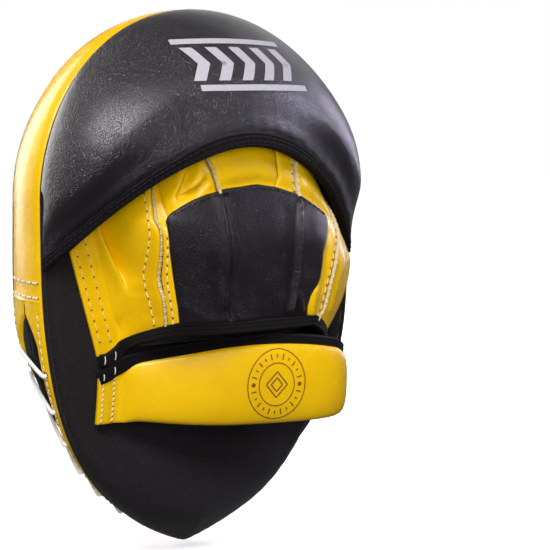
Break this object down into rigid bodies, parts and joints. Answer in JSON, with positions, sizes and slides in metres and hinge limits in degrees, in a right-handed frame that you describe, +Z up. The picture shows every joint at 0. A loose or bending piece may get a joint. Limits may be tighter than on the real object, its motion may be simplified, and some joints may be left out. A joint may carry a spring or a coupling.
{
  "type": "focus mitt",
  "caption": "Curved boxing focus mitt with padded strike face, laced side wall, finger hood, sewn-in glove and padded wrist strap.",
  "frame": {"origin": "on the palm plane of the pad, on the centre line, where the wearer's palm lies against the back of the pad", "axes": "+Z up along the fingers, +Y out of the strike face, +X to the little-finger side of this right-hand mitt"},
  "size_m": [0.192, 0.0985, 0.2753],
  "materials": {
    "strike_cover": "smooth black leather",
    "target_disc": "off-white print on leather",
    "impact_foam": "dense closed-cell foam",
    "backing_foam": "soft closed-cell foam",
    "back_panel": "matte black woven textile",
    "wrist_cushion": "soft closed-cell foam",
    "side_gusset": "glossy yellow leather",
    "gusset_rear_strip": "glossy yellow leather, punched",
    "gusset_front_strip": "glossy yellow leather, punched",
    "slot_underlay": "matte black textile",
    "lacing_cord": "braided white cord",
    "hood_shell": "smooth black leather with a fine grain",
    "hood_foam": "soft closed-cell foam",
    "hood_lining": "black lining cloth",
    "hood_binding": "black woven binding tape",
    "glove_flange": "glossy yellow leather",
    "thumb_panel": "glossy yellow leather",
    "knuckle_patch": "smooth black leather",
    "heel_panel": "glossy yellow leather",
    "thumb_stall": "glossy yellow leather",
    "index_stall": "glossy yellow leather",
    "middle_stall": "glossy yellow leather",
    "ring_stall": "glossy yellow leather",
    "little_stall": "glossy yellow leather",
    "glove_lining": "black lining cloth",
    "glove_binding": "black woven binding tape",
    "palm_lining": "black lining cloth",
    "strap_cover": "glossy yellow leather",
    "strap_foam": "soft closed-cell foam",
    "strap_lining": "black lining cloth",
    "strap_binding": "black woven binding tape",
    "strap_anchor": "glossy yellow leather",
    "closure_tab": "black webbing",
    "loop_tape": "loop side of a hook-and-loop tape",
    "hook_tape": "hook side of a hook-and-loop tape"
  },
  "bodies": {
    "mitt": {"strike_cover": "strike_cover", "target_disc": "target_disc", "impact_foam": "impact_foam", "backing_foam": "backing_foam", "back_panel": "back_panel", "wrist_cushion": "wrist_cushion", "side_gusset": "side_gusset", "gusset_rear_strip": "gusset_rear_strip", "gusset_front_strip": "gusset_front_strip", "slot_underlay": "slot_underlay", "lacing_cord": "lacing_cord", "hood_shell": "hood_shell", "hood_foam": "hood_foam", "hood_lining": "hood_lining", "hood_binding": "hood_binding", "glove_flange": "glove_flange", "thumb_panel": "thumb_panel", "knuckle_patch": "knuckle_patch", "heel_panel": "heel_panel", "thumb_stall": "thumb_stall", "index_stall": "index_stall", "middle_stall": "middle_stall", "ring_stall": "ring_stall", "little_stall": "little_stall", "glove_lining": "glove_lining", "glove_binding": "glove_binding", "palm_lining": "palm_lining", "strap_anchor": "strap_anchor", "loop_tape": "loop_tape"},
    "wrist_strap": {"strap_cover": "strap_cover", "strap_foam": "strap_foam", "strap_lining": "strap_lining", "strap_binding": "strap_binding", "closure_tab": "closure_tab", "hook_tape": "hook_tape"}
  },
  "joints": [
    {"name": "strap_opening", "type": "hinge", "parent": "mitt", "child": "wrist_strap", "pos_m": [-0.05215, -0.00278, -0.09595], "axis": [0, 0.1163, -0.9932], "range_deg": [0, 110]}
  ]
}
